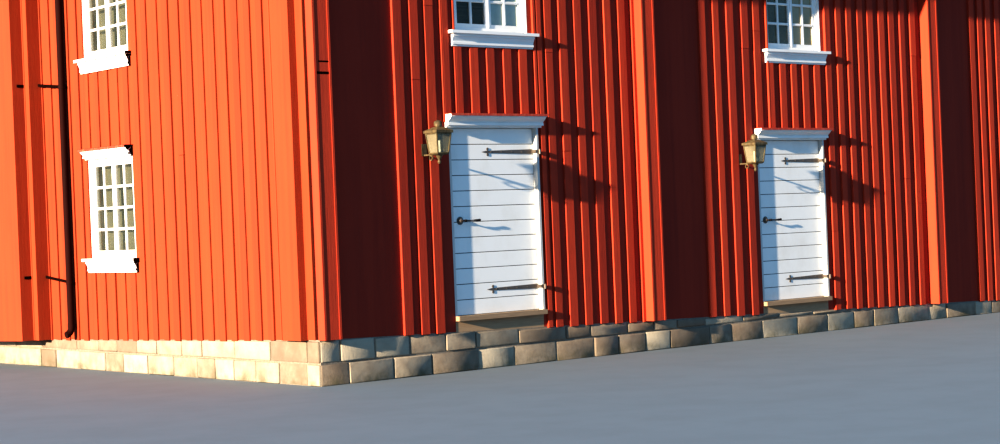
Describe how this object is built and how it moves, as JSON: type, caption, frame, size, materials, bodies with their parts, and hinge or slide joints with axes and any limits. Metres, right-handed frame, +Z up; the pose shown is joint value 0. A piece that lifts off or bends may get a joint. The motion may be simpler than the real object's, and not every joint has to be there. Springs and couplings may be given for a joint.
{
  "type": "two-storey red timber row building with a boarded front, planked doors and a hipped roof",
  "caption": "Long two-storey red timber building: boarded walls with boxed pilasters, white planked doors under moulded cornices, small-paned windows, wall lanterns and a hipped roof.",
  "frame": {"origin": "middle of the plan at the lowest ground level, under the plinth", "axes": "+Z up, -Y the door front, -X the end wall with the downpipe"},
  "size_m": [16.6924, 9.28, 7.9382],
  "materials": {
    "plinth_stone": "rough split stone",
    "floor_boards": "worn scrubbed boards",
    "red_boards": "matt red earth paint on rough sawn boards",
    "white_paint": "satin white linseed oil paint",
    "black_iron": "forged, black oil paint",
    "window_glass": "old drawn window glass",
    "old_brass": "weathered brass with green tarnish",
    "roof_deck": "boarded roof slope under clay pantiles",
    "dark_sheet": "dark brown painted sheet"
  },
  "bodies": {
    "root": {"long_plinths": "plinth_stone", "end_plinths": "plinth_stone", "ground_floor": "floor_boards", "upper_floor": "floor_boards", "attic_floor": "floor_boards", "thresholds": "floor_boards", "front_piers": "red_boards", "front_lintels": "red_boards", "front_wall_upper": "red_boards", "left_wall": "red_boards", "right_wall": "red_boards", "back_wall": "red_boards", "rear_bay_boarding": "red_boards", "front_pilasters": "red_boards", "corner_boxes": "red_boards", "end_casings": "red_boards", "end_pilaster": "red_boards", "soffit": "red_boards", "fascia": "red_boards", "door_posts": "white_paint", "door_stops": "white_paint", "door_heads": "white_paint", "door_cornices": "white_paint", "window_frames": "white_paint", "window_sashes": "white_paint", "window_sills": "white_paint", "window_crowns": "white_paint", "hinge_pintles": "black_iron", "window_glass": "window_glass", "lantern_glass": "window_glass", "lanterns": "old_brass", "lantern_brackets": "old_brass", "front_roof": "roof_deck", "back_roof": "roof_deck", "left_roof": "roof_deck", "right_roof": "roof_deck", "gutters": "dark_sheet", "downpipe": "dark_sheet"},
    "door_1": {"door_leaf_1": "white_paint", "door_ironwork_1": "black_iron"},
    "lever_1": {"door_lever_1": "black_iron"},
    "door_2": {"door_leaf_2": "white_paint", "door_ironwork_2": "black_iron"},
    "lever_2": {"door_lever_2": "black_iron"},
    "door_3": {"door_leaf_3": "white_paint", "door_ironwork_3": "black_iron"},
    "lever_3": {"door_lever_3": "black_iron"}
  },
  "joints": [
    {"name": "door_1_swing", "type": "hinge", "parent": "root", "child": "door_1", "pos_m": [-4.83725, -4.153, 1.57], "axis": [0, 0, 1], "range_deg": [0, 170]},
    {"name": "lever_1_turn", "type": "hinge", "parent": "door_1", "child": "lever_1", "pos_m": [-5.93225, -4.121, 1.58], "axis": [0, 1, 0], "range_deg": [0, 40], "stiffness_Nm_per_rad": 1.5, "springref_deg": -34.38},
    {"name": "door_2_swing", "type": "hinge", "parent": "root", "child": "door_2", "pos_m": [0.01775, -4.153, 1.432], "axis": [0, 0, 1], "range_deg": [0, 170]},
    {"name": "lever_2_turn", "type": "hinge", "parent": "door_2", "child": "lever_2", "pos_m": [-1.07725, -4.121, 1.442], "axis": [0, 1, 0], "range_deg": [0, 40], "stiffness_Nm_per_rad": 1.5, "springref_deg": -34.38},
    {"name": "door_3_swing", "type": "hinge", "parent": "root", "child": "door_3", "pos_m": [5.57775, -4.153, 1.294], "axis": [0, 0, 1], "range_deg": [0, 170]},
    {"name": "lever_3_turn", "type": "hinge", "parent": "door_3", "child": "lever_3", "pos_m": [4.48275, -4.121, 1.304], "axis": [0, 1, 0], "range_deg": [0, 40], "stiffness_Nm_per_rad": 1.5, "springref_deg": -34.38}
  ]
}
